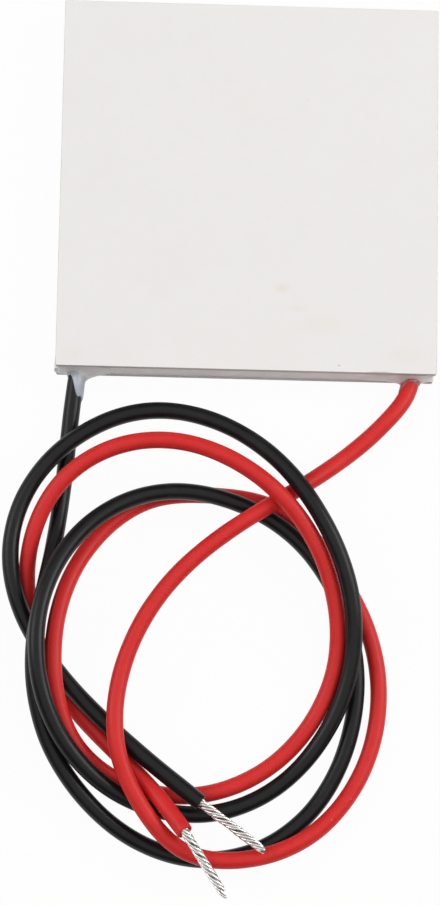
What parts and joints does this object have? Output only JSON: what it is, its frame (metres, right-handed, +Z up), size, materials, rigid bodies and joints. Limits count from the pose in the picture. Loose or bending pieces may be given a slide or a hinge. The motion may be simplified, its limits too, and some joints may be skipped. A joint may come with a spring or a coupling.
{
  "type": "thermoelectric cooling module",
  "caption": "Flat square solid-state cooler: white ceramic plates with semiconductor couples between them, an edge seal, and a looped black and red lead.",
  "frame": {"origin": "centre of the hot plate's outer face, which lies on the ground", "axes": "+Z up through the module to the cold face, -Y towards the side that the leads leave, +X towards the red lead"},
  "size_m": [0.045, 0.0952, 0.0082],
  "materials": {
    "alumina": "matt",
    "silicone": "satin",
    "copper": "satin",
    "n_semiconductor": "metallic, sawn",
    "p_semiconductor": "metallic, sawn",
    "solder": "bright",
    "black_insulation": "semi-gloss",
    "red_insulation": "semi-gloss",
    "tinned_wire": "tinned, twisted strands"
  },
  "bodies": {
    "root": {"hot_plate": "alumina", "cold_plate": "alumina", "perimeter_seal": "silicone", "black_lead_seal": "silicone", "red_lead_seal": "silicone", "hot_tabs_row_01": "copper", "hot_tabs_row_02": "copper", "hot_tabs_row_03": "copper", "hot_tabs_row_04": "copper", "hot_tabs_row_05": "copper", "hot_tabs_row_06": "copper", "hot_tabs_row_07": "copper", "hot_tabs_row_08": "copper", "cold_tabs_row_01": "copper", "cold_tabs_row_02": "copper", "cold_tabs_row_03": "copper", "cold_tabs_row_04": "copper", "cold_tabs_row_05": "copper", "cold_tabs_row_06": "copper", "cold_tabs_row_07": "copper", "cold_front_links": "copper", "cold_back_links": "copper", "n_legs_row_01": "n_semiconductor", "n_legs_row_02": "n_semiconductor", "n_legs_row_03": "n_semiconductor", "n_legs_row_04": "n_semiconductor", "n_legs_row_05": "n_semiconductor", "n_legs_row_06": "n_semiconductor", "n_legs_row_07": "n_semiconductor", "n_legs_row_08": "n_semiconductor", "p_legs_row_01": "p_semiconductor", "p_legs_row_02": "p_semiconductor", "p_legs_row_03": "p_semiconductor", "p_legs_row_04": "p_semiconductor", "p_legs_row_05": "p_semiconductor", "p_legs_row_06": "p_semiconductor", "p_legs_row_07": "p_semiconductor", "p_legs_row_08": "p_semiconductor", "black_lead_joint": "solder", "red_lead_joint": "solder", "black_lead": "black_insulation", "red_lead": "red_insulation", "black_lead_wires": "tinned_wire", "red_lead_wires": "tinned_wire"}
  },
  "joints": []
}
